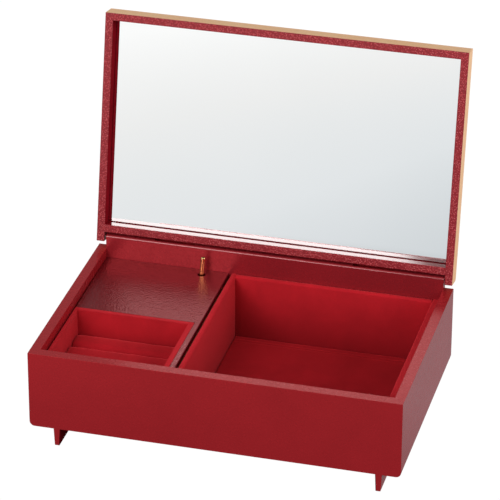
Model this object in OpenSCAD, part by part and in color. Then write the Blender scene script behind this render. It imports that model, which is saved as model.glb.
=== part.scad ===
// Musical jewellery case: leather-covered box with a mirrored lid, a velvet
// ring tray, a velvet-lined compartment and a wind-up musical movement.
// +Z up, front faces -Y, origin on the ground under the middle of the open case.

/* [Case] */
// Outer width of the case
case_w = 215; // [190:1:240]
// Outer depth of the case
case_d = 136.4; // [130:0.2:150]
// Height of the walls, without the runners
wall_h = 46.9; // [44:0.1:60]
// Thickness of the front wall
front_t = 6.2; // [5:0.1:8]
// Thickness of the side walls
side_t = 5.8; // [5:0.1:8]
// Thickness of the rear wall
rear_t = 5.2; // [5:0.1:6]
// How far the rear wall stands above the side walls
rear_up = 8.8; // [7:0.1:9]
// Radius along the lower side edges
low_r = 3; // [1:0.5:4]
// Thickness of the base panel
base_t = 1.8; // [1.5:0.1:3]
// Height of the runners from the ground to the walls
runner_h = 10.8; // [10:0.1:14]
// Width of a runner
runner_w = 4; // [3:0.5:8]

/* [Inside] */
// Depth of the cover panel below the rim
panel_drop = 5.7; // [5:0.1:8]
// Thickness of the cover panel
panel_t = 3; // [2:0.5:4]
// Front edge of the wide part of the cover panel
panel_front = 68; // [60:1:75]
// Left face of the partition wall
part_x = -29.5; // [-35:0.5:-25]
// Thickness of the partition wall
part_t = 3.2; // [3:0.1:5]
// Thickness of the velvet-covered liner boards
liner_t = 3.2; // [2.5:0.1:4]
// Depth of the ring tray from its rim to the top of the rolls
roll_drop = 15.2; // [12:0.2:18]
// Thickness of the ring tray floor
tray_floor = 4; // [2:1:14]
// Number of ring rolls
rolls = 4; // [3:1:4]
// Gap between two ring rolls
roll_gap = 0.6; // [0.4:0.1:1.5]

/* [Lid] */
// Length of the lid, from its hinge end to its free end
lid_l = 138.8; // [136:0.2:142]
// Thickness of the lid
lid_t = 12.8; // [12.4:0.1:15]
// Width of the side rails, leather cover included
rail_w = 4.6; // [4:0.1:7]
// Distance from the hinge end to the rear rail
tab_l = 5.9; // [5.8:0.1:7]
// Thickness of the outer leather
skin = 0.7; // [0.5:0.1:1]
// Thickness of the lid board
board_t = 1.6; // [1.5:0.1:2.5]
// Thickness of the mirror glass
mirror_t = 2.8; // [2:0.1:4]
// Opening angle of the lid on its stop
lid_open = 100.9; // [90:0.1:105]

/* [Hinges and stop pin] */
// Distance of each hinge from the middle
hinge_x = 60; // [40:1:80]
// Width of a hinge
hinge_w = 24; // [20:1:30]
// Radius of a hinge knuckle
knuckle_r = 1.7; // [1.5:0.1:1.8]
// Radius of a hinge pin
hpin_r = 0.8; // [0.6:0.1:1]
// Radius of the stop pin
pin_r = 1.2; // [1:0.1:1.5]
// Height of the stop pin above the cover panel
pin_h = 11.8; // [10:0.1:13]
// Lean of the stop pin to the right
pin_lean = 5.3; // [0:0.1:6]

/* [Hidden] */
$fn = 48;

W2 = case_w / 2;
rim = runner_h + wall_h;            // height of the side and front rims
xi = W2 - side_t;                   // inner face of a side wall
yr = case_d - rear_t;               // front face of the rear wall
ptop = rim - panel_drop;            // top of the cover panel, trays and liners
floor_z = runner_h;                 // top of the base panel
hy = case_d - 1.7;                  // hinge axis
hz = rim + 4.35;
lid_end = case_d - 1.4;             // hinge end of the closed lid
lid_z = rim + 0.2;                  // inner face of the closed lid
lid_hw = W2;                        // half width of the lid
rail_d = lid_t - skin - board_t;    // depth of the rails
fl = lid_end - lid_l;               // front edge of the closed lid
edge_r = 1.5;
y_far = hy + cos(lid_open) * (fl + edge_r - hy) + sin(lid_open) * (lid_z + lid_t - edge_r - hz) + edge_r;
y_mid = y_far / 2;
red = [0.50, 0.11, 0.13];
velvet = [0.60, 0.08, 0.11];
tan_c = [0.86, 0.66, 0.50];
wood_c = [0.66, 0.50, 0.34];
brass_c = [0.83, 0.66, 0.36];
steel_c = [0.72, 0.73, 0.75];

module put() { translate([0, -y_mid, 0]) children(); }
// closed lid coordinates to the open lid
module lid_put() { put() translate([0, hy, hz]) rotate([-lid_open, 0, 0]) translate([0, -hy, -hz]) children(); }
module box3(a, b) { translate(a) cube(b - a); }

// square with one radius at each corner: bottom left, bottom right, top right, top left
module rsq(w, h, bl = 0, br = 0, tr = 0, tl = 0) {
  difference() {
    square([w, h]);
    if (bl > 0) ccut(0, 0, bl, 1, 1);
    if (br > 0) ccut(w, 0, br, -1, 1);
    if (tr > 0) ccut(w, h, tr, -1, -1);
    if (tl > 0) ccut(0, h, tl, 1, -1);
  }
}
module ccut(x, y, r, sx, sy) {
  translate([x, y]) difference() {
    translate([sx > 0 ? -1 : -r, sy > 0 ? -1 : -r]) square(r + 1);
    translate([sx * r, sy * r]) circle(r);
  }
}
// outline in x (to the right) and z (up), swept along y
module sweep_y(y0, y1) { translate([0, y1, 0]) rotate([90, 0, 0]) linear_extrude(y1 - y0) children(); }
// outline in y and z, swept along x
module sweep_x(x0, x1) { translate([x0, 0, 0]) rotate([90, 0, 90]) linear_extrude(x1 - x0) children(); }

// ---- case ----
module front_panel() {
  color(red) put() sweep_y(0, front_t) translate([-W2, runner_h]) rsq(case_w, wall_h, low_r, low_r, 0, 0);
}
module side_panel(s) {
  mirror([s > 0 ? 1 : 0, 0, 0]) put()
    sweep_y(front_t, case_d) translate([-W2, runner_h]) rsq(side_t, wall_h, low_r, 0, 0, 0);
}
module left_side() { color(red) side_panel(-1); }
module right_side() { color(red) side_panel(1); }
module rear_wall() {
  color(red) put() difference() {
    sweep_x(-xi, xi) translate([yr, runner_h]) rsq(rear_t, wall_h + rear_up, 0, 0, 0, 1.3);
    for (s = [-1, 1]) translate([s * hinge_x, 0, 0]) {
      box3([-hinge_w / 2 - 0.4, hy - 2.2, hz - 2.2], [hinge_w / 2 + 0.4, case_d + 1, rim + rear_up + 1]);
      box3([-hinge_w / 2 - 0.2, case_d - 1, hz - 14.2], [hinge_w / 2 + 0.2, case_d + 1, hz - 2]);
      for (x = [-8, 0, 8]) translate([x, case_d - 4.3, hz - 10 + (x == 0 ? 3 : 0)])
        rotate([-90, 0, 0]) cylinder(r = 0.82, h = 4);
    }
  }
}
module base_panel() {
  color(wood_c) put() difference() {
    box3([-W2 + 4, 4, runner_h - base_t], [W2 - 4, case_d - 3, runner_h]);
    translate([bar_x, bar_y, 0]) cylinder(r = 4.5, h = 30);
    for (p = mscrew) translate([p[0], p[1], 0]) cylinder(r = 1.55, h = 30);
  }
}
module runner(x) {
  put() translate([x, 0, 0]) difference() {
    sweep_y(0, case_d - 2) polygon([[0.5, 0], [runner_w - 0.6, 0], [runner_w, runner_h], [0, runner_h]]);
    box3([-1, 4, runner_h - base_t], [runner_w + 1, case_d - 3, runner_h + 1]);
    box3([-1, case_d - 3, runner_h - base_t], [runner_w + 1, case_d, runner_h + 1]);
  }
}
module runner_left() { color([0.24, 0.05, 0.06]) runner(-93.4); }
module runner_right() { color([0.24, 0.05, 0.06]) runner(92.8); }
module partition_wall() {
  color(wood_c) put() box3([part_x, front_t, floor_z], [part_x + part_t, yr, ptop - panel_t]);
}
module cross_wall() {
  color(wood_c) put() box3([-xi, panel_front + 0.2, floor_z], [part_x, panel_front + 3.2, ptop - panel_t]);
}
module panel_cleats() {
  color(wood_c) put() {
    box3([-xi, yr - 4, ptop - panel_t - 5], [part_x, yr, ptop - panel_t]);
    box3([-xi, panel_front + 3.2, ptop - panel_t - 5], [-xi + 4, yr - 4, ptop - panel_t]);
  }
}
pin_p = [-41.2, 124.8];
module cover_panel() {
  color(red) put() difference() {
    union() {
      box3([-xi + 1, panel_front, ptop - panel_t], [part_x + part_t, yr, ptop]);
      box3([part_x, front_t, ptop - panel_t], [part_x + part_t, panel_front + 1, ptop]);
    }
    translate([pin_p[0], pin_p[1], 0]) cylinder(r = 2.4, h = 100);
  }
}

// ---- ring tray ----
tx0 = -xi + 1; tx1 = part_x - 0.1; ty0 = front_t; ty1 = panel_front - 0.1;
tl = 1.7; tr = 3; tb = 2.6; tf = 2;
module ring_tray() {
  color(velvet) put() difference() {
    box3([tx0, ty0, floor_z], [tx1, ty1, ptop]);
    box3([tx0 + tl, ty0 + tf, floor_z + tray_floor], [tx1 - tr, ty1 - tb, ptop + 1]);
  }
}
roll_y0 = ty0 + tf + 0.3; roll_y1 = ty1 - tb - 0.3;
roll_p = (roll_y1 - roll_y0 + roll_gap) / rolls;
module ring_roll(i) {
  h = ptop - roll_drop - floor_z - tray_floor;
  if (i < rolls) color(velvet) put() sweep_x(tx0 + tl + 0.3, tx1 - tr - 0.3)
    translate([roll_y1 - i * roll_p - (roll_p - roll_gap), floor_z + tray_floor]) rsq(roll_p - roll_gap, h, 0, 0, 3.5, 3.5);
}
module ring_roll_1() { ring_roll(0); }
module ring_roll_2() { ring_roll(1); }
module ring_roll_3() { ring_roll(2); }
module ring_roll_4() { ring_roll(min(3, rolls - 1)); }

// ---- large compartment ----
lx0 = part_x + part_t + 1.5; lx1 = xi - 0.8; ly0 = front_t; ly1 = yr;
lt_r = liner_t + 1.5;               // thickness of the right board
module liner_board(a, b) { box3(a, b); }
module liner_left() { color(velvet) put() liner_board([lx0, ly0, floor_z], [lx0 + liner_t, ly1, ptop]); }
module liner_right() { color(velvet) put() liner_board([lx1 - lt_r, ly0, floor_z], [lx1, ly1, ptop]); }
module liner_back() { color(velvet) put() liner_board([lx0 + liner_t, ly1 - liner_t, floor_z], [lx1 - lt_r, ly1, ptop]); }
module liner_front() { color(velvet) put() liner_board([lx0 + liner_t, ly0, floor_z], [lx1 - lt_r, ly0 + liner_t, ptop]); }
module floor_pad() {
  color(velvet) put() box3([lx0 + liner_t + 0.4, ly0 + liner_t + 0.4, floor_z], [lx1 - lt_r - 0.4, ly1 - liner_t - 0.4, floor_z + 1.6]);
}

// ---- lid, in closed coordinates ----
module lid_outline(i, z0, z1) {
  intersection() {
    sweep_x(-lid_hw + i, lid_hw - i) translate([fl + i, lid_z - 1]) rsq(lid_l - 2 * i, lid_t - i + 1, 0, 0, 3.5 - i, edge_r - i);
    sweep_y(fl, lid_end) translate([-lid_hw + i, lid_z - 1]) rsq(2 * (lid_hw - i), lid_t - i + 1, 0, 0, edge_r - i, edge_r - i);
    box3([-lid_hw, fl - 1, z0], [lid_hw, lid_end + 1, z1]);
  }
}
module lid_board() { color(wood_c) lid_put() lid_outline(skin, lid_z + rail_d, lid_z + lid_t); }
module lid_leather() {
  color(tan_c) lid_put() difference() {
    lid_outline(0, lid_z, lid_z + lid_t + 1);
    lid_outline(skin, lid_z - 2, lid_z + lid_t);
    box3([-lid_hw + rail_w, lid_end - skin - 1, lid_z - 1], [lid_hw - rail_w, lid_end + 1, lid_z + rail_d]);
  }
}
module side_rail(s) {
  mirror([s > 0 ? 1 : 0, 0, 0]) lid_put() intersection() {
    lid_outline(skin, lid_z, lid_z + rail_d);
    box3([-lid_hw, fl, lid_z], [-lid_hw + rail_w, lid_end, lid_z + rail_d]);
  }
}
module lid_rail_left() { color(red) side_rail(-1); }
module lid_rail_right() { color(red) side_rail(1); }
module lid_rail_front() {
  color(red) lid_put() box3([-lid_hw + rail_w, fl + skin, lid_z], [lid_hw - rail_w, fl + 4.4, lid_z + rail_d]);
}
module lid_rail_rear() {
  color(red) lid_put() box3([-lid_hw + rail_w, lid_end - tab_l - 4.6, lid_z], [lid_hw - rail_w, lid_end - tab_l, lid_z + rail_d]);
}
module mirror_glass() {
  color([0.86, 0.88, 0.88]) lid_put()
    box3([-lid_hw + rail_w + 0.2, fl + 4.6, lid_z + rail_d - mirror_t], [lid_hw - rail_w - 0.2, lid_end - tab_l - 4.8, lid_z + rail_d]);
}

// ---- hinges ----
kn = 4;   // half length of the middle knuckle
module ring_x(x0, x1, r, b) {
  translate([x0, 0, 0]) rotate([0, 90, 0]) difference() {
    cylinder(r = r, h = x1 - x0);
    translate([0, 0, -1]) cylinder(r = b, h = x1 - x0 + 2);
  }
}
module screw_hole_y(r1, r2, t) { rotate([-90, 0, 0]) translate([0, 0, -t]) cylinder(r1 = r1, r2 = r2, h = t); }
module base_leaf(s) {
  put() translate([s * hinge_x, hy, hz]) difference() {
    union() {
      for (m = [-1, 1]) {
        ring_x(m > 0 ? kn + 0.15 : -hinge_w / 2, m > 0 ? hinge_w / 2 : -kn - 0.15, knuckle_r, hpin_r + 0.02);
        difference() {
          box3([m > 0 ? kn + 0.15 : -hinge_w / 2, 0.7, -6], [m > 0 ? hinge_w / 2 : -kn - 0.15, 1.7, 0]);
          translate([-20, 0, 0]) rotate([0, 90, 0]) cylinder(r = hpin_r + 0.02, h = 40);
        }
      }
      box3([-hinge_w / 2, 0.7, -14], [hinge_w / 2, 1.7, -2.1]);
    }
    for (x = [-8, 0, 8]) translate([x, 1.7, -10 + (x == 0 ? 3 : 0)]) screw_hole_y(0.9, 1.75, 1.01);
  }
}
module hinge_base_leaf_left() { color(brass_c) base_leaf(-1); }
module hinge_base_leaf_right() { color(brass_c) base_leaf(1); }
leaf_top = lid_z + rail_d - hz;    // underside of the lid board, from the hinge axis
module lid_leaf(s) {
  lid_put() translate([s * hinge_x, hy, hz]) difference() {
    union() {
      ring_x(-kn, kn, knuckle_r, hpin_r + 0.05);
      difference() {
        box3([-kn, -0.5, 0], [kn, 0.5, leaf_top]);
        translate([-20, 0, 0]) rotate([0, 90, 0]) cylinder(r = hpin_r + 0.05, h = 40);
      }
      box3([-hinge_w / 2, -0.5, 2.3], [hinge_w / 2, 0.5, leaf_top]);
      box3([-hinge_w / 2, -5.5, leaf_top - 0.8], [hinge_w / 2, 0.5, leaf_top]);
      box3([-kn, 0.4, 2.36], [kn, 3, 3.2]);
    }
    for (x = [-8, 0, 8]) translate([x, -3, leaf_top - 0.81]) cylinder(r1 = 1.4, r2 = 0.75, h = 0.82);
  }
}
module hinge_lid_leaf_left() { color(brass_c) lid_leaf(-1); }
module hinge_lid_leaf_right() { color(brass_c) lid_leaf(1); }
module hinge_pin(s) {
  put() translate([s * hinge_x - hinge_w / 2, hy, hz]) rotate([0, 90, 0]) cylinder(r = hpin_r, h = hinge_w);
}
module hinge_pin_left() { color(brass_c) hinge_pin(-1); }
module hinge_pin_right() { color(brass_c) hinge_pin(1); }
module hinge_base_screws() {
  color(brass_c) put() for (s = [-1, 1]) for (x = [-8, 0, 8])
    translate([s * hinge_x + x, case_d, hz - 10 + (x == 0 ? 3 : 0)]) rotate([90, 0, 0]) difference() {
      union() {
        cylinder(r1 = 1.7, r2 = 0.85, h = 1);
        cylinder(r = 0.8, h = 4.2);
      }
      translate([-2, -0.2, -0.1]) cube([4, 0.4, 0.4]);
    }
}
module hinge_lid_screws() {
  color(brass_c) lid_put() for (s = [-1, 1]) for (x = [-8, 0, 8])
    translate([s * hinge_x + x, hy - 3, hz + leaf_top - 0.8]) difference() {
      union() {
        cylinder(r1 = 1.35, r2 = 0.7, h = 0.8);
        cylinder(r = 0.7, h = 0.8);
      }
      translate([-2, -0.15, -0.1]) cube([4, 0.3, 0.35]);
    }
}

// ---- start/stop pin ----
module along_pin() { translate([pin_p[0], pin_p[1], ptop]) rotate([0, pin_lean, 0]) children(); }
module stop_pin() {
  color(brass_c) put() along_pin() translate([0, 0, -26]) rotate_extrude()
    rsq(pin_r, 26 + pin_h, 0, 0.3, 0.6, 0);
}

// ---- musical movement ----
mx = -76.5;                         // centre of the spring barrel
bar_y = 98; cyl_z = 33;
bar_x = mx; gov_x = mx + 37.7; gov_y = 107.2;
mscrew = [[mx - 7.5, 113], [mx - 7.5, 82], [mx + 40.5, 82]];
module movement_bedplate() {
  color(steel_c) put() difference() {
    union() {
      box3([mx - 12.5, 77, floor_z], [mx + 44.5, 119, floor_z + 2.5]);
      box3([mx + 11, 94, floor_z + 2], [mx + 12.8, 102, cyl_z + 4]);
      box3([mx + 34.3, 94, floor_z + 2], [mx + 36.1, 102, cyl_z + 4]);
      box3([mx + 13.5, 111.5, floor_z + 2], [mx + 33.5, 118.5, cyl_z - 0.4]);
      box3([-47.5, 118.9, floor_z], [-38.5, 122, 36]);
      box3([-47.5, 119, 33], [-38.5, 128.5, 36]);
    }
    translate([bar_x, bar_y, 0]) cylinder(r = 4, h = 30);
    for (p = mscrew) translate([p[0], p[1], 0]) cylinder(r = 1.22, h = 30);
    translate([mx + 5.5, bar_y, cyl_z]) rotate([0, 90, 0]) cylinder(r = 1.55, h = 40);
    translate([gov_x, gov_y, floor_z + 1]) cylinder(r = 0.85, h = 5);
    for (x = [18.5, 28.5]) translate([mx + x, 115.5, 20]) cylinder(r = 1.02, h = 20);
    along_pin() translate([0, 0, -25]) cylinder(r = pin_r + 0.06, h = 25);
  }
}
module teeth(n, r, d, h) { for (i = [0:n - 1]) rotate([0, 0, i * 360 / n]) translate([r - 0.2, -d / 2, 0]) cube([0.6, d, h]); }
module spring_barrel() {
  color(brass_c) put() translate([bar_x, bar_y, floor_z + 3]) difference() {
    union() {
      cylinder(r = 10, h = 13.6);
      teeth(36, 9.8, 0.8, 13.6);
    }
    translate([0, 0, -1]) cylinder(r = 2.05, h = 12);
    translate([0, 0, 12.6]) difference() { cylinder(r = 8.6, h = 2); cylinder(r = 3, h = 2); }
  }
}
module music_cylinder() {
  color(brass_c) put() translate([mx + 80.5, bar_y, cyl_z]) rotate([0, 90, 0]) {
    translate([0, 0, -66.6]) cylinder(r = 6.5, h = 19.4);
    translate([0, 0, -73]) cylinder(r = 1.5, h = 31.4);
    translate([0, 0, -71.9]) { cylinder(r = 4.5, h = 1.8); teeth(18, 4.4, 0.7, 1.8); }
    translate([0, 0, -43.6]) { cylinder(r = 6.6, h = 1.4); teeth(30, 6.5, 0.6, 1.4); }
    for (i = [0:17]) translate([0, 0, -65.6 + i * 1.03]) rotate([0, 0, i * 77])
      rotate([0, 90, 0]) cylinder(r = 0.2, h = 6.85, $fn = 13);
  }
}
module comb() {
  color(steel_c) put() difference() {
    box3([mx + 13.9, 105.1, cyl_z - 0.4], [mx + 33.1, 118.5, cyl_z + 0.5]);
    for (i = [0:16]) translate([mx + 14.85 + i * 1.03, 105, cyl_z - 1]) cube([0.25, 6.4, 3]);
    for (x = [18.5, 28.5]) translate([mx + x, 115.5, 20]) cylinder(r = 1.1, h = 20);
  }
}
module comb_screws() {
  color(steel_c) put() for (x = [18.5, 28.5]) translate([mx + x, 115.5, cyl_z + 0.5]) difference() {
    union() { translate([0, 0, -7]) cylinder(r = 1, h = 7); cylinder(r = 2, h = 1.3); }
    translate([-3, -0.25, 0.8]) cube([6, 0.5, 1]);
  }
}
module governor_bracket() {
  color(steel_c) put() difference() {
    union() {
      box3([gov_x + 3.2, 104, floor_z + 2.5], [gov_x + 4.4, 110.4, 41.5]);
      box3([gov_x - 1.6, 104.4, 40.7], [gov_x + 4.4, 110, 41.5]);
    }
    translate([gov_x, gov_y, 30]) cylinder(r = 0.75, h = 20);
  }
}
module governor() {
  color(brass_c) put() translate([gov_x, gov_y, 0]) {
    translate([0, 0, floor_z + 1.3]) cylinder(r = 0.7, h = 33.6);
    translate([0, 0, 27]) cylinder(r = 1.3, h = 12);
    translate([0, 0, 42]) cylinder(r = 1.6, h = 1.5);
    box3([-4.3, -0.3, 42.4], [4.3, 0.3, 46]);
  }
}
module winding_arbor() {
  color(steel_c) put() translate([bar_x, bar_y, 2.6]) cylinder(r = 2, h = 21.2);
}
module winding_key() {
  color(brass_c) put() translate([bar_x, bar_y, 0]) difference() {
    union() {
      translate([0, 0, 2.4]) cylinder(r = 3.6, h = 5.8);
      for (s = [-1, 1]) translate([s * 7, 1, 4.8]) rotate([90, 0, 0]) cylinder(r = 3.4, h = 2);
      box3([-7, -1, 3], [7, 1, 6.6]);
    }
    translate([0, 0, 2.59]) cylinder(r = 2.01, h = 10);
  }
}
module movement_screws() {
  color(steel_c) put() for (p = mscrew) translate([p[0], p[1], 0]) {
    translate([0, 0, runner_h - base_t - 1.2]) cylinder(r = 2.6, h = 1.2);
    translate([0, 0, runner_h - base_t - 0.1]) cylinder(r = 1.2, h = 4.2);
  }
}

front_panel();
left_side();
right_side();
rear_wall();
base_panel();
runner_left();
runner_right();
partition_wall();
cross_wall();
panel_cleats();
cover_panel();
ring_tray();
ring_roll_1();
ring_roll_2();
ring_roll_3();
ring_roll_4();
liner_left();
liner_right();
liner_back();
liner_front();
floor_pad();
lid_board();
lid_leather();
lid_rail_front();
lid_rail_rear();
lid_rail_left();
lid_rail_right();
mirror_glass();
hinge_base_leaf_left();
hinge_base_leaf_right();
hinge_lid_leaf_left();
hinge_lid_leaf_right();
hinge_pin_left();
hinge_pin_right();
hinge_base_screws();
hinge_lid_screws();
stop_pin();
movement_bedplate();
spring_barrel();
music_cylinder();
comb();
comb_screws();
governor_bracket();
governor();
winding_arbor();
winding_key();
movement_screws();
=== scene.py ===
import math

import bmesh
import bpy
from mathutils import Matrix, Vector, noise


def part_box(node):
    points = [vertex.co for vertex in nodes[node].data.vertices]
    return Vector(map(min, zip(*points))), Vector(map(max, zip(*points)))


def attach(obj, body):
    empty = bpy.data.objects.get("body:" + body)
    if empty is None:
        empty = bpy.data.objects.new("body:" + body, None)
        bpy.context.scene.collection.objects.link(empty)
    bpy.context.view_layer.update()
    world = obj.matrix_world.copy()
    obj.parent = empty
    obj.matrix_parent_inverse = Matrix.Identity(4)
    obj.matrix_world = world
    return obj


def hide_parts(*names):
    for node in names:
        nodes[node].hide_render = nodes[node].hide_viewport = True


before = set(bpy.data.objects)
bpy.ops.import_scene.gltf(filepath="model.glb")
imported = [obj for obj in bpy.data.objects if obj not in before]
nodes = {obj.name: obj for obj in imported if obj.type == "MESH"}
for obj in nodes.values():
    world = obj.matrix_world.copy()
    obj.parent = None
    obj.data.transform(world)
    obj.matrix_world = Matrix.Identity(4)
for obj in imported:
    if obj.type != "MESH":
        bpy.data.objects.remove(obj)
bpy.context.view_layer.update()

scene = bpy.context.scene

# ------------------------------------------------------------------ frame
# Shapes are made in millimetres in the case's own coordinates: x from the
# middle, y from the front face, z from the ground. The lid's are those of the
# closed lid. TO and LID take them to the shared frame.
Y0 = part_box("front_panel")[0].y
TO = Matrix.Translation((0, Y0, 0)) @ Matrix.Scale(0.001, 4)
HY, HZ, OPEN = 134.7, 62.05, math.radians(100.9)
LID = TO @ Matrix.Translation((0, HY, HZ)) @ Matrix.Rotation(-OPEN, 4, "X") @ Matrix.Translation((0, -HY, -HZ))

W2, XI = 107.5, 101.7            # outer and inner faces of the side walls
ZB, RIM = 10.8, 57.7             # lower and upper edges of the walls
FT, YR, CD = 6.2, 131.2, 136.4   # front wall, rear wall, depth of the case
PTOP = 52.0                      # top of the cover panel and the liners
EPS = 0.02


# ------------------------------------------------------------- mesh helpers
def near(a, b):
    return abs(a - b) < EPS


def cells(xs, ys, zs, inside):
    """A closed rectilinear solid, from the cells whose middle is inside."""
    nx, ny, nz = len(xs) - 1, len(ys) - 1, len(zs) - 1
    mid = lambda a, i: (a[i] + a[i + 1]) / 2
    full = {(i, j, k) for i in range(nx) for j in range(ny) for k in range(nz)
            if inside(mid(xs, i), mid(ys, j), mid(zs, k))}
    bm = bmesh.new()
    vs = {}

    def v(i, j, k):
        if (i, j, k) not in vs:
            vs[i, j, k] = bm.verts.new((xs[i], ys[j], zs[k]))
        return vs[i, j, k]

    for i, j, k in full:
        if (i - 1, j, k) not in full:
            bm.faces.new((v(i, j, k), v(i, j, k + 1), v(i, j + 1, k + 1), v(i, j + 1, k)))
        if (i + 1, j, k) not in full:
            bm.faces.new((v(i + 1, j, k), v(i + 1, j + 1, k), v(i + 1, j + 1, k + 1), v(i + 1, j, k + 1)))
        if (i, j - 1, k) not in full:
            bm.faces.new((v(i, j, k), v(i + 1, j, k), v(i + 1, j, k + 1), v(i, j, k + 1)))
        if (i, j + 1, k) not in full:
            bm.faces.new((v(i, j + 1, k), v(i, j + 1, k + 1), v(i + 1, j + 1, k + 1), v(i + 1, j + 1, k)))
        if (i, j, k - 1) not in full:
            bm.faces.new((v(i, j, k), v(i, j + 1, k), v(i + 1, j + 1, k), v(i + 1, j, k)))
        if (i, j, k + 1) not in full:
            bm.faces.new((v(i, j, k + 1), v(i + 1, j, k + 1), v(i + 1, j + 1, k + 1), v(i, j + 1, k + 1)))
    flatten(bm)
    return bm


def flatten(bm):
    """Merges coplanar faces and collinear edges."""
    bmesh.ops.remove_doubles(bm, verts=bm.verts, dist=0.0005)
    bmesh.ops.dissolve_limit(bm, angle_limit=math.radians(0.4), verts=bm.verts, edges=bm.edges)
    bmesh.ops.recalc_face_normals(bm, faces=bm.faces)


def block(lo, hi):
    return cells([lo[0], hi[0]], [lo[1], hi[1]], [lo[2], hi[2]], lambda x, y, z: True)


def bevel(bm, test, width, segments=4):
    """Rounds the edges whose two ends pass the test."""
    edges = [e for e in bm.edges if test(e.verts[0].co, e.verts[1].co)]
    if edges:
        bmesh.ops.bevel(bm, geom=edges, offset=width, offset_type="OFFSET", segments=segments,
                        profile=0.5, affect="EDGES", clamp_overlap=True)
    return len(edges)


def sharp(bm, angle=40):
    """Edges sharper than the angle, for a bevel on a copied CAD shape."""
    return [e for e in bm.edges if len(e.link_faces) == 2 and e.calc_face_angle(0) > math.radians(angle)]


def cut(bm, co, no):
    """Keeps what lies on the far side of no, and closes the cut."""
    bmesh.ops.recalc_face_normals(bm, faces=bm.faces)
    co, no = Vector(co), Vector(no).normalized()
    bmesh.ops.bisect_plane(bm, geom=bm.verts[:] + bm.edges[:] + bm.faces[:], dist=1e-4,
                           plane_co=co, plane_no=no, clear_outer=True)
    on = lambda v: abs((v.co - co).dot(no)) < 1e-3
    bad = [f for f in bm.faces if all(on(v) for v in f.verts) and f.normal.dot(no) < 0]
    bmesh.ops.delete(bm, geom=bad, context="FACES")
    bmesh.ops.delete(bm, geom=[e for e in bm.edges if not e.link_faces], context="EDGES")
    bmesh.ops.delete(bm, geom=[v for v in bm.verts if not v.link_edges], context="VERTS")
    bmesh.ops.holes_fill(bm, edges=[e for e in bm.edges if len(e.link_faces) == 1], sides=0)
    bmesh.ops.recalc_face_normals(bm, faces=bm.faces)
    return bm


def grid_cut(bm, axis, lo, hi, step):
    """Cuts all faces at even steps, so that a displacement has points to move."""
    n = max(1, round((hi - lo) / step))
    for i in range(1, n):
        co, no = Vector((0, 0, 0)), Vector((0, 0, 0))
        co[axis], no[axis] = lo + (hi - lo) * i / n, 1
        bmesh.ops.bisect_plane(bm, geom=bm.verts[:] + bm.edges[:] + bm.faces[:], dist=1e-5,
                               plane_co=co, plane_no=no)


def ripple(bm, amount, size, seed=0.0, test=None):
    """Moves points along their normals by smooth noise, so cloth isn't dead flat."""
    bm.normal_update()
    moves = []
    for v in bm.verts:
        if test is None or test(v.co):
            n = noise.noise(Vector((v.co.x / size + seed, v.co.y / size, v.co.z / size)))
            n += 0.5 * noise.noise(Vector((v.co.x / size * 2.3, v.co.y / size * 2.3 + seed, v.co.z / size * 2.3)))
            moves.append((v, v.normal * (n * amount)))
    for v, d in moves:
        v.co += d


def copy_of(node, matrix=TO):
    """A CAD node's mesh as a bmesh in local millimetres."""
    bm = bmesh.new()
    bm.from_mesh(nodes[node].data)
    bm.transform(matrix.inverted())
    bmesh.ops.remove_doubles(bm, verts=bm.verts, dist=0.001)
    bmesh.ops.dissolve_limit(bm, angle_limit=math.radians(0.4), verts=bm.verts, edges=bm.edges)
    bmesh.ops.recalc_face_normals(bm, faces=bm.faces)
    return bm


def piece(name, bm, mats, body, replaces=(), matrix=TO, angle=32, weighted=True):
    bm.transform(matrix)
    bmesh.ops.recalc_face_normals(bm, faces=bm.faces)
    me = bpy.data.meshes.new(name)
    bm.to_mesh(me)
    bm.free()
    for p in me.polygons:
        p.use_smooth = True
    me.set_sharp_from_angle(angle=math.radians(angle))
    ob = bpy.data.objects.new(name, me)
    scene.collection.objects.link(ob)
    for m in mats if isinstance(mats, (list, tuple)) else [mats]:
        me.materials.append(m)
    if weighted:
        w = ob.modifiers.new("flat faces stay flat", "WEIGHTED_NORMAL")
        w.keep_sharp = True
        w.weight = 100
    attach(ob, body)
    if replaces:
        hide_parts(*([replaces] if isinstance(replaces, str) else replaces))
    return ob


# ---------------------------------------------------------------- materials
def lin(r, g, b):
    """An sRGB colour, 0 to 255, as a linear colour."""
    f = lambda c: c / 12.92 if c <= 0.04045 else ((c + 0.055) / 1.055) ** 2.4
    return (f(r / 255), f(g / 255), f(b / 255), 1)


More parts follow.
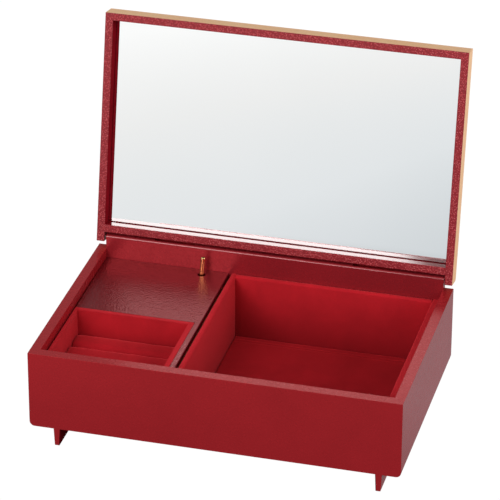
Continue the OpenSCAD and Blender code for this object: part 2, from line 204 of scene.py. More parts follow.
class Shader:
    def __init__(self, name, **sockets):
        self.mat = bpy.data.materials.new(name)
        self.mat.use_nodes = True
        self.tree = self.mat.node_tree
        self.tree.nodes.clear()
        self.out = self.new("OutputMaterial")
        self.bsdf = self.new("BsdfPrincipled")
        self.join(self.bsdf, 0, self.out, 0)
        for k, v in sockets.items():
            self.bsdf.inputs[k.replace("_", " ")].default_value = v
        self.co = self.new("TexCoord").outputs["Object"]

    def new(self, kind, **props):
        n = self.tree.nodes.new("ShaderNode" + kind)
        for k, v in props.items():
            setattr(n, k, v)
        return n

    def join(self, a, i, b, j):
        self.tree.links.new(a.outputs[i] if not isinstance(a, bpy.types.NodeSocket) else a, b.inputs[j])

    def scaled(self, sx, sy, sz, rot=(0, 0, 0)):
        m = self.new("Mapping")
        m.inputs["Scale"].default_value = (sx, sy, sz)
        m.inputs["Rotation"].default_value = rot
        self.join(self.co, 0, m, "Vector")
        return m.outputs[0]

    def noise(self, scale, detail=3, rough=0.5, vector=None, distortion=0.0):
        n = self.new("TexNoise")
        n.inputs["Scale"].default_value = scale
        n.inputs["Detail"].default_value = detail
        n.inputs["Roughness"].default_value = rough
        n.inputs["Distortion"].default_value = distortion
        self.join(self.co if vector is None else vector, 0, n, "Vector")
        return n.outputs["Fac"]

    def voronoi(self, scale, feature="F1", vector=None, smooth=None, randomness=1.0):
        n = self.new("TexVoronoi", feature=feature)
        n.inputs["Scale"].default_value = scale
        n.inputs["Randomness"].default_value = randomness
        if smooth is not None:
            n.inputs["Smoothness"].default_value = smooth
        self.join(self.co if vector is None else vector, 0, n, "Vector")
        return n.outputs["Distance"]

    def map(self, value, a0, a1, b0, b1, smooth=False):
        n = self.new("MapRange")
        if smooth:
            n.interpolation_type = "SMOOTHSTEP"
        for k, v in zip(("From Min", "From Max", "To Min", "To Max"), (a0, a1, b0, b1)):
            n.inputs[k].default_value = v
        self.join(value, 0, n, "Value")
        return n.outputs[0]

    def math(self, op, a, b=None):
        n = self.new("Math", operation=op)
        for i, x in enumerate((a, b)):
            if x is None:
                continue
            if isinstance(x, (int, float)):
                n.inputs[i].default_value = x
            else:
                self.join(x, 0, n, i)
        return n.outputs[0]

    def mix(self, fac, a, b):
        n = self.new("Mix", data_type="RGBA")
        for name, x in (("A", a), ("B", b)):
            s = [q for q in n.inputs if q.name == name and q.type == "RGBA"][0]
            if isinstance(x, tuple):
                s.default_value = x
            else:
                self.tree.links.new(x, s)
        f = [q for q in n.inputs if q.name == "Factor" and q.type == "VALUE"][0]
        if isinstance(fac, (int, float)):
            f.default_value = fac
        else:
            self.tree.links.new(fac, f)
        return [q for q in n.outputs if q.type == "RGBA"][0]

    def bump(self, height, distance, strength=1.0, normal=None):
        n = self.new("Bump")
        n.inputs["Strength"].default_value = strength
        n.inputs["Distance"].default_value = distance
        self.join(height, 0, n, "Height")
        if normal is not None:
            self.join(normal, 0, n, "Normal")
        return n.outputs[0]

    def set(self, socket, value):
        self.join(value, 0, self.bsdf, socket)


def dim(c, k):
    return (c[0] * k, c[1] * k, c[2] * k, 1)


def smooth_leather(name, base, tint):
    """Red calf on the case: smooth and satin, with a very fine grain."""
    s = Shader(name, IOR=2.2, Specular_IOR_Level=0.4, Specular_Tint=tint)
    broad = s.noise(26, 3, 0.55)
    fine = s.noise(1900, 2, 0.6)
    c = s.mix(s.map(broad, 0.3, 0.7, 0, 1), dim(base, 0.93), dim(base, 1.07))
    s.set("Base Color", s.mix(s.map(fine, 0.35, 0.7, 0, 0.14), c, dim(base, 0.84)))
    s.set("Roughness", s.map(s.noise(300, 2, 0.5), 0.3, 0.7, 0.25, 0.29))
    pores = s.voronoi(1500, "SMOOTH_F1", smooth=0.6)
    h = s.math("ADD", s.math("MULTIPLY", pores, 0.5), s.math("MULTIPLY", fine, 0.5))
    s.set("Normal", s.bump(h, 0.000006, 0.4))
    return s.mat


def panel_leather():
    """Dark red leathercloth of the cover panel: glossy, with a fine pressed grain."""
    s = Shader("glossy panel leather", IOR=2.3, Specular_IOR_Level=0.5,
               Specular_Tint=lin(255, 84, 88))
    base = lin(86, 20, 26)
    grain = s.voronoi(920, "SMOOTH_F1", smooth=0.6)
    fine = s.noise(1500, 3, 0.65)
    c = s.mix(s.map(s.noise(30, 3, 0.55), 0.3, 0.7, 0, 1), dim(base, 0.9), dim(base, 1.1))
    s.set("Base Color", s.mix(s.map(grain, 0.05, 0.5, 0.25, 0), c, dim(base, 0.7)))
    s.set("Roughness", s.map(fine, 0.3, 0.7, 0.09, 0.17))
    h = s.math("ADD", s.math("MULTIPLY", grain, 0.7), s.math("MULTIPLY", fine, 0.38))
    s.set("Normal", s.bump(h, 0.00022, 1.0))
    return s.mat


def rail_leather():
    """Pebbled red leather on the lid frame, with painted highlights on the pebble tops and painted shade in the
    creases.
    """
    s = Shader("pebbled red leather", Specular_IOR_Level=0.62, Specular_Tint=lin(255, 176, 176))
    base = lin(160, 40, 45)
    warp = s.noise(500, 2, 0.5)
    cell = s.voronoi(1180, "SMOOTH_F1", smooth=0.1)
    fine = s.noise(2600, 3, 0.6)
    groove = s.map(cell, 0.15, 0.6, 1, 0, True)
    c = s.mix(s.map(s.noise(60, 3, 0.6), 0.3, 0.7, 0, 1), dim(base, 0.9), dim(base, 1.08))
    # painted highlight: the pebble tops are mixed towards a pale pink
    c = s.mix(s.map(groove, 0.6, 1.0, 0, 0.55), c, lin(220, 118, 124))
    # painted shade: the creases between the pebbles are darkened
    s.set("Base Color", s.mix(s.map(groove, 0, 0.5, 0.66, 0), c, lin(104, 14, 28)))
    s.set("Roughness", s.map(fine, 0.3, 0.7, 0.3, 0.46))
    h = s.math("ADD", groove, s.math("MULTIPLY", s.math("ADD", fine, warp), 0.25))
    s.set("Normal", s.bump(h, 0.00022, 1.0))
    return s.mat


def lining(name, gloss, rough, tint=lin(255, 226, 222), base=lin(118, 14, 24)):
    """Thin smooth red skiver on the inner walls of the lid frame."""
    s = Shader(name, Specular_IOR_Level=gloss, Specular_Tint=tint)
    tone = s.noise(90, 3, 0.6)
    s.set("Base Color", s.mix(s.map(tone, 0.3, 0.7, 0, 1), dim(base, 0.82), dim(base, 1.1)))
    s.set("Roughness", s.map(tone, 0.3, 0.7, rough, rough + 0.07))
    s.set("Normal", s.bump(s.noise(700, 2, 0.5), 0.00001, 0.5))
    return s.mat


def tan_leather():
    """Natural tan leather on the outside of the lid."""
    s = Shader("tan leather", Specular_IOR_Level=0.4, Specular_Tint=lin(255, 225, 195))
    base = lin(223, 176, 138)
    cell = s.voronoi(1150, "SMOOTH_F1", smooth=0.6)
    fine = s.noise(2200, 3, 0.6)
    groove = s.map(cell, 0.1, 0.7, 1, 0, True)
    c = s.mix(s.map(s.noise(22, 4, 0.6), 0.25, 0.75, 0, 1), lin(250, 190, 138), lin(254, 208, 160))
    s.set("Base Color", s.mix(s.map(groove, 0, 0.5, 0.16, 0), c, lin(206, 150, 106)))
    s.set("Roughness", s.map(fine, 0.3, 0.7, 0.42, 0.6))
    h = s.math("ADD", groove, s.math("MULTIPLY", fine, 0.3))
    s.set("Normal", s.bump(h, 0.00006, 0.5))
    return s.mat


def velvet(name, level, tint, shade_to_floor=False):
    """Short cotton velvet: deep red, brighter where the pile is seen from the side.
    With the last argument set, the colour is darkened down towards the floor as painted shade."""
    s = Shader(name, Roughness=0.95, Specular_IOR_Level=0.08, Sheen_Weight=1.0,
               Sheen_Roughness=0.38, Sheen_Tint=tint)
    base = dim(lin(144, 20, 28), level)
    pile = s.noise(3400, 2, 0.6)
    nap = s.noise(55, 4, 0.6, distortion=0.4)
    c = s.mix(s.map(nap, 0.3, 0.7, 0, 1), dim(base, 0.86), dim(base, 1.12))
    c = s.mix(s.map(pile, 0.3, 0.75, 0.3, 0), c, dim(base, 0.6))
    if shade_to_floor:
        sep = s.new("SeparateXYZ")
        s.join(s.co, 0, sep, 0)
        # painted shade: the colour darkens from 52 mm down to 10 mm above the ground
        c = s.mix(s.map(sep.outputs["Z"], 0.010, 0.052, 0.8, 0, True), c, dim(base, 0.45))
    s.set("Base Color", c)
    s.set("Normal", s.bump(pile, 0.00012, 0.6))
    return s.mat


def brass(name, low, high, dark, light):
    s = Shader(name, Metallic=1.0)
    tone = s.noise(180, 3, 0.6)
    s.set("Base Color", s.mix(s.map(tone, 0.3, 0.7, 0, 1), dark, light))
    lines = s.noise(700, 3, 0.6, vector=s.scaled(1, 1, 0.06))
    s.set("Roughness", s.map(lines, 0.3, 0.7, low, high))
    s.set("Normal", s.bump(lines, 0.000006, 0.5))
    return s.mat


def steel():
    s = Shader("brushed steel", Metallic=1.0)
    lines = s.noise(900, 4, 0.65, vector=s.scaled(0.05, 1, 1))
    s.set("Base Color", s.mix(s.map(lines, 0.3, 0.7, 0, 1), lin(176, 178, 182), lin(206, 208, 210)))
    s.set("Roughness", s.map(lines, 0.3, 0.7, 0.24, 0.4))
    s.set("Normal", s.bump(lines, 0.000008, 0.5))
    return s.mat


def wood():
    s = Shader("beech board", Specular_IOR_Level=0.35)
    v = s.scaled(1, 16, 16)
    rings = s.noise(34, 5, 0.6, vector=v, distortion=0.6)
    fine = s.noise(120, 4, 0.65, vector=v)
    c = s.mix(s.map(rings, 0.3, 0.7, 0, 1), lin(196, 152, 104), lin(158, 112, 70))
    s.set("Base Color", s.mix(s.map(fine, 0.35, 0.7, 0, 0.5), c, lin(128, 86, 52)))
    s.set("Roughness", s.map(fine, 0.3, 0.7, 0.5, 0.65))
    s.set("Normal", s.bump(fine, 0.00004, 0.5))
    return s.mat


def glass():
    s = Shader("mirror glass", Base_Color=(0.97, 0.985, 0.98, 1), Roughness=0.0, IOR=1.5,
               Transmission_Weight=1.0)
    smear = s.noise(14, 3, 0.5)
    s.set("Roughness", s.map(smear, 0.35, 0.9, 0.0, 0.012))
    return s.mat


def silver():
    s = Shader("mirror silver", Metallic=1.0)
    tone = s.noise(9, 2, 0.5)
    s.set("Base Color", s.mix(s.map(tone, 0.3, 0.7, 0, 1), (0.93, 0.94, 0.935, 1), (0.95, 0.955, 0.95, 1)))
    s.bsdf.inputs["Roughness"].default_value = 0.0
    return s.mat


RED = smooth_leather("smooth red leather", lin(147, 28, 34), lin(255, 84, 86))
# the rear wall, under the open lid, gets a darker copy of the case leather: painted shade
REAR_RED_SHADED = smooth_leather("smooth red leather, rear, painted shade", lin(132, 29, 36), lin(255, 130, 136))
PANEL, RAIL, TAN = panel_leather(), rail_leather(), tan_leather()
# One velvet at three levels: the liners' and tray's base colour is raised as painted light on the walls; the floor
# pad's is lowered, with a darker sheen tint, as painted shade.
VELVET, LINER = velvet("red velvet", 1.5, lin(255, 84, 90)), velvet("red velvet, liners, painted light and shade", 1.66, lin(255, 84, 90), True)
PAD_VELVET_SHADED = velvet("red velvet, floor, painted shade", 1.12, lin(255, 60, 66))
BRASS = brass("polished brass", 0.16, 0.27, lin(230, 184, 112), lin(244, 204, 136))
PIN_BRASS = brass("bright brass", 0.12, 0.19, lin(234, 202, 130), lin(246, 218, 156))
EDGE, GLUE = lining("edge lining", 0.05, 0.08), lining("edge lining, matt", 0.0, 0.9)
# a darker, matt red for the runners' inner faces under the case: painted shade
RUNNER_SHADE_RED = lining("red leather, painted shade under the case", 0.0, 0.8, base=lin(84, 8, 14))
POLISHED = lining("polished leather edge", 1.0, 0.16, lin(255, 190, 192))
STEEL, WOOD = steel(), wood()
GLASS, SILVER = glass(), silver()


# ------------------------------------------------------------ case in leather
def walls():
    bm = cells([-W2, -XI, XI, W2], [0, FT, CD], [ZB, RIM],
               lambda x, y, z: y < FT or abs(x) > XI)
    bevel(bm, lambda a, b: near(a.z, ZB) and near(b.z, ZB) and near(abs(a.x), W2) and near(a.x, b.x), 3.0, 8)
    inner = lambda v: near(v.z, RIM) and abs(v.x) < XI + EPS and v.y > FT - EPS
    outer = lambda v: near(v.z, RIM) and (near(abs(v.x), W2) or near(v.y, 0) or near(v.y, CD))

    def soft(a, b):
        if near(a.y, 0) and near(b.y, 0):
            return True
        if near(a.y, CD) and near(b.y, CD):
            return not (near(abs(a.x), XI) and near(abs(b.x), XI)) and (near(a.z, RIM) and near(b.z, RIM) or near(abs(a.x), W2) and near(abs(b.x), W2))
        return outer(a) and outer(b) and near(a.x, b.x) and near(abs(a.x), W2)

    bevel(bm, soft, 0.7, 4)
    bevel(bm, lambda a, b: near(a.z, RIM) and near(b.z, RIM) and (
        near(a.x, b.x) and near(abs(a.x), XI) or near(a.y, b.y) and near(a.y, FT)), 0.5, 3)
    return bm


shell = walls()
bm = cut(shell.copy(), (0, FT, 0), (0, 1, 0))
piece("leather_front", bm, RED, "case", "front_panel")
bm = cut(shell.copy(), (0, FT, 0), (0, -1, 0))
piece("leather_left_side", cut(bm.copy(), (0, 0, 0), (1, 0, 0)), RED, "case", "left_side")
piece("leather_right_side", cut(bm, (0, 0, 0), (-1, 0, 0)), RED, "case", "right_side")
shell.free()

bm = copy_of("rear_wall")
top_z = max(v.co.z for v in bm.verts)
bevel(bm, lambda a, b: near(a.z, top_z) and near(b.z, top_z) and near(a.y, b.y) and abs(a.x - b.x) > 50
      and a.y < YR + 1, 0.8, 2)
end = max(v.co.x for v in bm.verts if v.co.z > RIM + 2)
for v in bm.verts:
    if v.co.z > RIM - 0.1 and near(v.co.x, end):
        v.co.x = 102.5
bm.normal_update()
for f in bm.faces:
    f.material_index = 1 if f.normal.y < -0.5 and 0.2 < f.normal.z < 0.6 else 0
piece("leather_rear_wall", bm, [REAR_RED_SHADED, POLISHED], "case", "rear_wall", angle=12)

for n in ("runner_left", "runner_right"):
    bm = copy_of(n)
    e = [x for x in sharp(bm) if all(v.co.z < ZB - 2 or v.co.y < 1 for v in x.verts)
         and not all(near(v.co.z, ZB) for v in x.verts)]
    bmesh.ops.bevel(bm, geom=e, offset=0.35, offset_type="OFFSET", segments=3, profile=0.5, affect="EDGES", clamp_overlap=True)
    bm.normal_update()
    for f in bm.faces:
        # the runners' inner faces get the darker matt red as painted shade
        f.material_index = 1 if f.normal.x * f.calc_center_median().x < -20 else 0
    piece("leather_" + n, bm, [RED, RUNNER_SHADE_RED], "case", n)

bm = copy_of("cover_panel")
bevel(bm, lambda a, b: near(a.z, PTOP) and near(b.z, PTOP)
      and not (abs(a.x + 41.2) < 3 and abs(a.y - 124.8) < 3), 0.4, 3)
bevel(bm, lambda a, b: near(a.z, PTOP) and near(b.z, PTOP)
      and abs(a.x + 41.2) < 3 and abs(a.y - 124.8) < 3, 0.15, 2)
piece("leather_cover_panel", bm, PANEL, "case", "cover_panel")


# -------------------------------------------------------------------- velvet
def board(name, lo, hi, r_top, node, puff=0.10, seed=0.0):
    """A velvet-covered liner board, rounded along its top."""
    bm = block(lo, hi)
    top = lambda v: near(v.z, hi[2])
    along = 0 if hi[0] - lo[0] > hi[1] - lo[1] else 1
    bevel(bm, lambda a, b: top(a) and top(b) and abs(a[along] - b[along]) > 1, r_top, 7)
    bevel(bm, lambda a, b: near(a.x, b.x) and near(a.y, b.y) and abs(a.z - b.z) > 5, 0.25, 2)
    grid_cut(bm, along, lo[along], hi[along], 5)
    grid_cut(bm, 2, lo[2], hi[2], 5)
    flat = lambda c: lo[2] + 0.5 < c.z
    ripple(bm, puff, 16, seed, flat)
    return piece(name, bm, LINER, "case", node, weighted=False)


LT = 3.2
for i, n in enumerate(("liner_left", "liner_right", "liner_back", "liner_front")):
    a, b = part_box(n)
    lo = TO.inverted() @ a
    hi = TO.inverted() @ b
    board("velvet_" + n, lo, hi, 1.35, n, 0.09, 7.3 * i)

# tray: a tub with thin velvet walls
a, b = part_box("ring_tray")
tlo, thi = TO.inverted() @ a, TO.inverted() @ b
ti = (tlo.x + 1.7, thi.x - 3, tlo.y + 2, thi.y - 2.6, tlo.z + 4)
bm = cells([tlo.x, ti[0], ti[1], thi.x], [tlo.y, ti[2], ti[3], thi.y], [tlo.z, ti[4], thi.z],
           lambda x, y, z: z < ti[4] or not (ti[0] < x < ti[1] and ti[2] < y < ti[3]))
rim_ring = lambda v: near(v.z, thi.z)
out_ring = lambda v: rim_ring(v) and (near(v.x, tlo.x) or near(v.x, thi.x) or near(v.y, tlo.y) or near(v.y, thi.y))
in_ring = lambda v: rim_ring(v) and not out_ring(v)
bevel(bm, lambda a, b: (out_ring(a) and out_ring(b) or in_ring(a) and in_ring(b))
      and (near(a.x, b.x) or near(a.y, b.y)), 0.8, 6)
grid_cut(bm, 0, tlo.x, thi.x, 5)
grid_cut(bm, 1, tlo.y, thi.y, 5)
grid_cut(bm, 2, tlo.z, thi.z, 6)
ripple(bm, 0.07, 14, 3.1, lambda c: c.z > ti[4] + 1)
piece("velvet_ring_tray", bm, LINER, "case", "ring_tray", weighted=False)

# rolls: foam bars in velvet, crowned and soft at the ends
for i in range(1, 5):
    n = "ring_roll_%d" % i
    a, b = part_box(n)
    lo, hi = TO.inverted() @ a, TO.inverted() @ b
    bm = block(lo, hi)
    bevel(bm, lambda a, b: near(a.z, hi.z) and near(b.z, hi.z) and near(a.y, b.y), 3.6, 9)
    bevel(bm, lambda a, b: near(a.x, b.x) and (near(a.x, lo.x) or near(a.x, hi.x)) and a.z > hi.z - 4 and b.z > hi.z - 4, 0.9, 3)
    grid_cut(bm, 0, lo.x, hi.x, 3)
    grid_cut(bm, 1, lo.y, hi.y, 1.4)
    grid_cut(bm, 2, lo.z, hi.z, 5)
    mid, half = (lo.y + hi.y) / 2, (hi.y - lo.y) / 2
    for v in bm.verts:
        t = (v.co.y - mid) / half
        k = max(0.0, (v.co.z - hi.z + 5) / 5)
        end = min(v.co.x - lo.x, hi.x - v.co.x)
        v.co.z += k * (0.75 * (1 - t * t) - 0.55 * math.exp(-end / 2.5))
    ripple(bm, 0.12, 11, 5.7 * i, lambda c: c.z > lo.z + 2)
    ob = piece("velvet_" + n, bm, VELVET, "case", n, weighted=False)

# floor pad: card with thin wadding, eased edges and two shallow creases at the back
a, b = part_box("floor_pad")
lo, hi = TO.inverted() @ a, TO.inverted() @ b
bm = block(lo, hi)
bevel(bm, lambda a, b: near(a.z, hi.z) and near(b.z, hi.z), 1.1, 5)
grid_cut(bm, 0, lo.x, hi.x, 3.5)
grid_cut(bm, 1, lo.y, hi.y - 14, 3.5)
grid_cut(bm, 1, hi.y - 14, hi.y, 0.5)
for v in bm.verts:
    if v.co.z > lo.z + 0.8:
        x, y = v.co.x, v.co.y
        e = min(x - lo.x, hi.x - x, y - lo.y, hi.y - y)
        v.co.z += 0.35 * (1 - math.exp(-max(e, 0) / 6))
        for off, depth, bow in ((3.4, 0.3, 0.5), (6.6, 0.22, -0.4)):
            c = hi.y - off - bow * math.sin((x - lo.x) / (hi.x - lo.x) * math.pi)
            v.co.z -= depth * math.exp(-((y - c) / 0.55) ** 2) * min(1, max(0, e / 2))
ripple(bm, 0.07, 15, 2.2, lambda c: c.z > lo.z + 0.8)
ob = piece("velvet_floor_pad", bm, PAD_VELVET_SHADED, "case", "floor_pad", weighted=False)


# ----------------------------------------------------------------------- lid
LZ, LT2 = 57.9, 10.5             # inner face of the closed lid, depth of the rails
FL, LE = -3.8, 135.0             # front edge and hinge end of the closed lid
SK = 0.7                         # leather on the outside
RX = 102.9                       # inner face of the side rails
RF, RR0, RR1 = 0.6, 124.5, 129.1  # inner face of the front rail, rear rail


GLUE_W = 1.5


def frame_solid():
    xs = [-W2, -W2 + SK, -RX, RX, W2 - SK, W2]
    ys = [FL, FL + SK, RF, RR0, RR1, LE - SK, LE]
    zs = [LZ, LZ + 0.5, LZ + LT2]
    glass = LZ + LT2 - 2.8

    def inside(x, y, z):
        if z > LZ + 0.5 and (abs(x) > W2 - SK or y < FL + SK or y > LE - SK):
            return False
        if abs(x) > RX:
            return True
        return y < RF or RR0 < y < RR1

    bm = cells(xs, ys, zs, inside)
    low = lambda v: near(v.z, LZ)
    bevel(bm, lambda a, b: low(a) and low(b), 0.42, 3)
    bmesh.ops.bisect_plane(bm, geom=bm.verts[:] + bm.edges[:] + bm.faces[:], dist=1e-5,
                           plane_co=(0, 0, glass - GLUE_W), plane_no=(0, 0, 1))
    # the hinge end follows the rounded end of the lid
    bevel(bm, lambda a, b: near(a.z, LZ + LT2) and near(b.z, LZ + LT2) and near(a.y, LE - SK) and near(b.y, LE - SK), 1.1, 2)
    return bm


def rail(name, bm, node):
    """The face is pebbled leather; the inner walls of the front and rear rails are smooth and glossy, with a
    matt line along the glass; the side rails' inner walls are matt."""
    for f in bm.faces:
        c = f.calc_center_median()
        n = f.normal
        hit = (abs(n.z) < 0.02 and RF - EPS < c.y < RR0 + EPS and abs(c.x) < RX + EPS)
        f.material_index = 0 if not hit else 1 if c.z < LZ + LT2 - 2.8 - GLUE_W and abs(n.y) > 0.9 else 2
    return piece(name, bm, [RAIL, EDGE, GLUE], "lid", node, LID)


ring = frame_solid()
rail("leather_rail_left", cut(ring.copy(), (-RX, 0, 0), (1, 0, 0)), "lid_rail_left")
rail("leather_rail_right", cut(ring.copy(), (RX, 0, 0), (-1, 0, 0)), "lid_rail_right")
mid = cut(cut(ring.copy(), (-RX, 0, 0), (-1, 0, 0)), (RX, 0, 0), (1, 0, 0))
rail("leather_rail_front", cut(mid.copy(), (0, 60, 0), (0, 1, 0)), "lid_rail_front")
rail("leather_rail_rear", cut(mid, (0, 60, 0), (0, -1, 0)), "lid_rail_rear")
ring.free()

# outer leather: its lower edge sits on the red leather's turned edge
bm = copy_of("lid_leather", LID)
bm = cut(bm, (0, 0, LZ + 0.5), (0, 0, -1))
piece("leather_lid_cover", bm, TAN, "lid", "lid_leather", LID)

# lining between the rear rail and the hinge end, over the hinge leaves
bm = block((-RX + 0.05, RR1 - 0.3, LZ + LT2 - 1.15), (RX - 0.05, LE - SK - 0.15, LZ + LT2 - 0.85))
bevel(bm, lambda p, q: near(p.z, LZ + LT2 - 1.15) and near(q.z, p.z), 0.12, 2)
piece("leather_hinge_lining", bm, RED, "lid", (), LID)

# mirror: plate glass with a silvered back and an eased front edge
BV_W, BV_D = 0.3, 0.2
a = Vector((-RX + 0.2, RF + 0.2, LZ + LT2 - 2.8))
b = Vector((RX - 0.2, RR0 - 0.2, LZ + LT2))
bm = block(a, b)
for v in bm.verts:
    if near(v.co.z, a.z):
        v.co.z += BV_D
top = [f for f in bm.faces if all(near(v.co.z, a.z + BV_D) for v in f.verts)]
r = bmesh.ops.inset_region(bm, faces=top, thickness=BV_W, use_even_offset=True)
for v in top[0].verts:
    v.co.z -= BV_D
ob = piece("mirror_plate", bm, [GLASS, SILVER, GLUE], "lid", "mirror_glass", LID, angle=2, weighted=False)
back = (LID.to_3x3() @ Vector((0, 0, 1))).normalized()
for p in ob.data.polygons:
    if p.normal.dot(back) > 0.9:
        p.material_index = 1
    elif abs(p.normal.dot(back)) < 0.1:
        p.material_index = 2


# ---------------------------------------------------- brass, steel and wood
def metal(node, mat, body, matrix=TO, width=0.12, angle=40):
    bm = copy_of(node, matrix)
    bmesh.ops.bevel(bm, geom=sharp(bm, angle), offset=width, offset_type="OFFSET", segments=2,
                    profile=0.5, affect="EDGES", clamp_overlap=True)
    return piece("fine_" + node, bm, mat, body, node, matrix)


for s in ("left", "right"):
    metal("hinge_base_leaf_" + s, BRASS, "case", TO, 0.1)
    metal("hinge_lid_leaf_" + s, BRASS, "lid", LID, 0.1)
    metal("hinge_pin_" + s, BRASS, "case", TO, 0.1)
metal("winding_key", BRASS, "winding_key", TO, 0.3)
bm = copy_of("stop_pin")
# its head is thicker than the shank that runs in the movement's guide
neck = (TO.inverted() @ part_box("cover_panel")[1]).z - 0.3
for z in (neck - 0.3, neck):
    bmesh.ops.bisect_plane(bm, geom=bm.verts[:] + bm.edges[:] + bm.faces[:], plane_co=(0, 0, z), plane_no=(0, 0, 1))
ring = [v.co.copy() for v in bm.verts if abs(v.co.z - neck) < 0.001]
cx, cy = sum(c.x for c in ring) / len(ring), sum(c.y for c in ring) / len(ring)
for v in bm.verts:
    if v.co.z > neck - 0.001:
        ax = cx + (v.co.z - neck) * 0.092371 / 0.995725
        v.co.x = ax + (v.co.x - ax) * 1.14
        v.co.y = cy + (v.co.y - cy) * 1.14
piece("fine_stop_pin", bm, PIN_BRASS, "stop_pin", "stop_pin")

dress = {
    "base_panel": RED, "partition_wall": WOOD, "cross_wall": WOOD, "panel_cleats": WOOD,
    "lid_board": WOOD, "hinge_base_screws": BRASS, "hinge_lid_screws": BRASS,
    "movement_bedplate": STEEL, "spring_barrel": BRASS, "music_cylinder": BRASS, "comb": STEEL,
    "comb_screws": STEEL, "governor_bracket": STEEL, "governor": BRASS, "winding_arbor": STEEL,
    "movement_screws": STEEL,
}
for n, m in dress.items():
    ob = nodes[n]
    ob.data.materials.clear()
    ob.data.materials.append(m)


# --------------------------------------------------------------------- stage
def plane(name, z, size, mat):
    bm = bmesh.new()
    bmesh.ops.create_grid(bm, x_segments=8, y_segments=8, size=size)
    me = bpy.data.meshes.new(name)
    bm.to_mesh(me)
    bm.free()
    ob = bpy.data.objects.new(name, me)
    ob.location.z = z
    scene.collection.objects.link(ob)
    me.materials.append(mat)
    return ob


def emitter(name):
    m = bpy.data.materials.new(name)
    m.use_nodes = True
    t = m.node_tree
    t.nodes.clear()
    out = t.nodes.new("ShaderNodeOutputMaterial")
    e = t.nodes.new("ShaderNodeEmission")
    t.links.new(e.outputs[0], out.inputs[0])
    return m, t, e


# The floor that is seen is white. What the object is lit and mirrored by is a
# table that is darker close to the object and brighter far in front.
m, t, e = emitter("white floor")
e.inputs["Strength"].default_value = 1.02
seen = plane("floor", -0.0006, 30, m)
for k in ("diffuse", "glossy", "transmission", "volume_scatter", "shadow"):
    setattr(seen, "visible_" + k, False)

m, t, e = emitter("table light")
co = t.nodes.new("ShaderNodeTexCoord")
sep = t.nodes.new("ShaderNodeSeparateXYZ")
t.links.new(co.outputs["Object"], sep.inputs[0])


def ramp(socket, a0, a1, b0, b1):
    n = t.nodes.new("ShaderNodeMapRange")
    for k, v in zip(("From Min", "From Max", "To Min", "To Max"), (a0, a1, b0, b1)):
        n.inputs[k].default_value = v
    t.links.new(socket, n.inputs["Value"])
    return n.outputs[0]


def op(kind, a, b):
    n = t.nodes.new("ShaderNodeMath")
    n.operation = kind
    for i, x in enumerate((a, b)):
        if isinstance(x, (int, float)):
            n.inputs[i].default_value = x
        else:
            t.links.new(x, n.inputs[i])
    return n.outputs[0]


length = t.nodes.new("ShaderNodeVectorMath")
length.operation = "LENGTH"
t.links.new(co.outputs["Object"], length.inputs[0])
r = length.outputs["Value"]
front = ramp(sep.outputs["Y"], -0.10, 0.02, 0.0, 0.18)
left = op("MULTIPLY", sep.outputs["X"], -1.0)
level = op("ADD", ramp(left, 0.0, 0.2, 0.70, 0.83), ramp(left, 0.2, 1.0, 0.0, 0.19))
near_part = op("MAXIMUM", op("MULTIPLY", ramp(r, 0.12, 0.62, 0.35, 1.0), level), op("ADD", front, 0.25))
t.links.new(near_part, e.inputs["Strength"])
cool = t.nodes.new("ShaderNodeMix")
cool.data_type = "RGBA"
a_in = [q for q in cool.inputs if q.name == "A" and q.type == "RGBA"][0]
b_in = [q for q in cool.inputs if q.name == "B" and q.type == "RGBA"][0]
a_in.default_value, b_in.default_value = (0.95, 1.0, 1.04, 1), (1, 1, 1, 1)
t.links.new(ramp(left, 0.0, 0.5, 0.0, 1.0), [q for q in cool.inputs if q.name == "Factor" and q.type == "VALUE"][0])
t.links.new([q for q in cool.outputs if q.type == "RGBA"][0], e.inputs["Color"])
table = plane("table_light", -0.0002, 30, m)
table.visible_camera = False


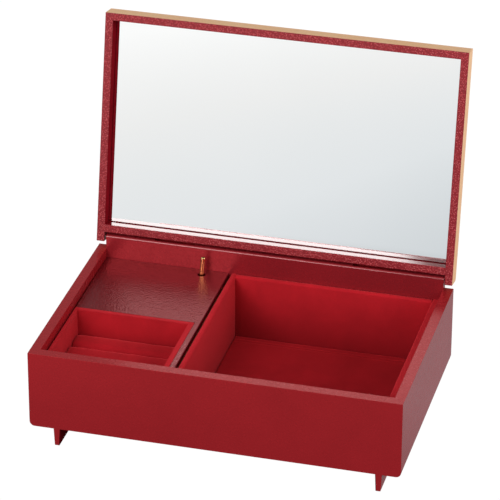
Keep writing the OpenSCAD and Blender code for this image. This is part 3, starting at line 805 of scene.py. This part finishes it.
def area(name, at, aim, size, power, color=(1, 1, 1)):
    d = bpy.data.lights.new(name, "AREA")
    d.shape = "RECTANGLE"
    d.size, d.size_y = size
    d.energy = power
    d.color = color
    ob = bpy.data.objects.new(name, d)
    scene.collection.objects.link(ob)
    ob.location = at
    ob.rotation_mode = "QUATERNION"
    ob.rotation_quaternion = (Vector(aim) - Vector(at)).to_track_quat("-Z", "Y")
    return ob


area("key softbox", (-0.38, -1.04, 0.57), (0, 0, 0.05), (0.46, 0.46), 6.3)
area("top softbox", (-0.36, -0.99, 1.26), (0, 0, 0.05), (1.3, 1.3), 5.0)
area("right fill", (1.38, -0.45, 0.75), (0, 0, 0.05), (0.9, 0.9), 13)
area("left fill", (-1.40, -0.40, 0.85), (0, 0, 0.05), (0.8, 0.8), 2.4)

world = bpy.data.worlds.new("studio")
scene.world = world
world.use_nodes = True
wt = world.node_tree
wt.nodes.clear()
wo = wt.nodes.new("ShaderNodeOutputWorld")
mixer = wt.nodes.new("ShaderNodeMixShader")
path = wt.nodes.new("ShaderNodeLightPath")
dark, white = wt.nodes.new("ShaderNodeBackground"), wt.nodes.new("ShaderNodeBackground")
dark.inputs["Color"].default_value = (1.0, 1.0, 1.0, 1)
dark.inputs["Strength"].default_value = 0.34
white.inputs["Color"].default_value = (1.0, 1.0, 1.0, 1)
white.inputs["Strength"].default_value = 1.02
wt.links.new(path.outputs["Is Camera Ray"], mixer.inputs[0])
wt.links.new(dark.outputs[0], mixer.inputs[1])
wt.links.new(white.outputs[0], mixer.inputs[2])
wt.links.new(mixer.outputs[0], wo.inputs[0])

scene.view_settings.view_transform = "Standard"
scene.view_settings.look = "None"
scene.view_settings.exposure = 0
scene.view_settings.gamma = 1

cam = bpy.data.cameras.new("camera")
cam.sensor_width = 36
cam.lens = 230.83
cam.clip_start, cam.clip_end = 0.05, 60
eye = bpy.data.objects.new("camera", cam)
scene.collection.objects.link(eye)
right, down, look = (Vector((0.966655, 0.256058, 0.003691)), Vector((0.123269, -0.45263, -0.883137)),
                     Vector((-0.224463, 0.854143, -0.469101)))
turn = Matrix((right, -down, -look)).transposed()
eye.rotation_mode = "QUATERNION"
eye.rotation_quaternion = turn.to_quaternion()
eye.location = (0.408187, -1.557819, 0.950131)
scene.camera = eye
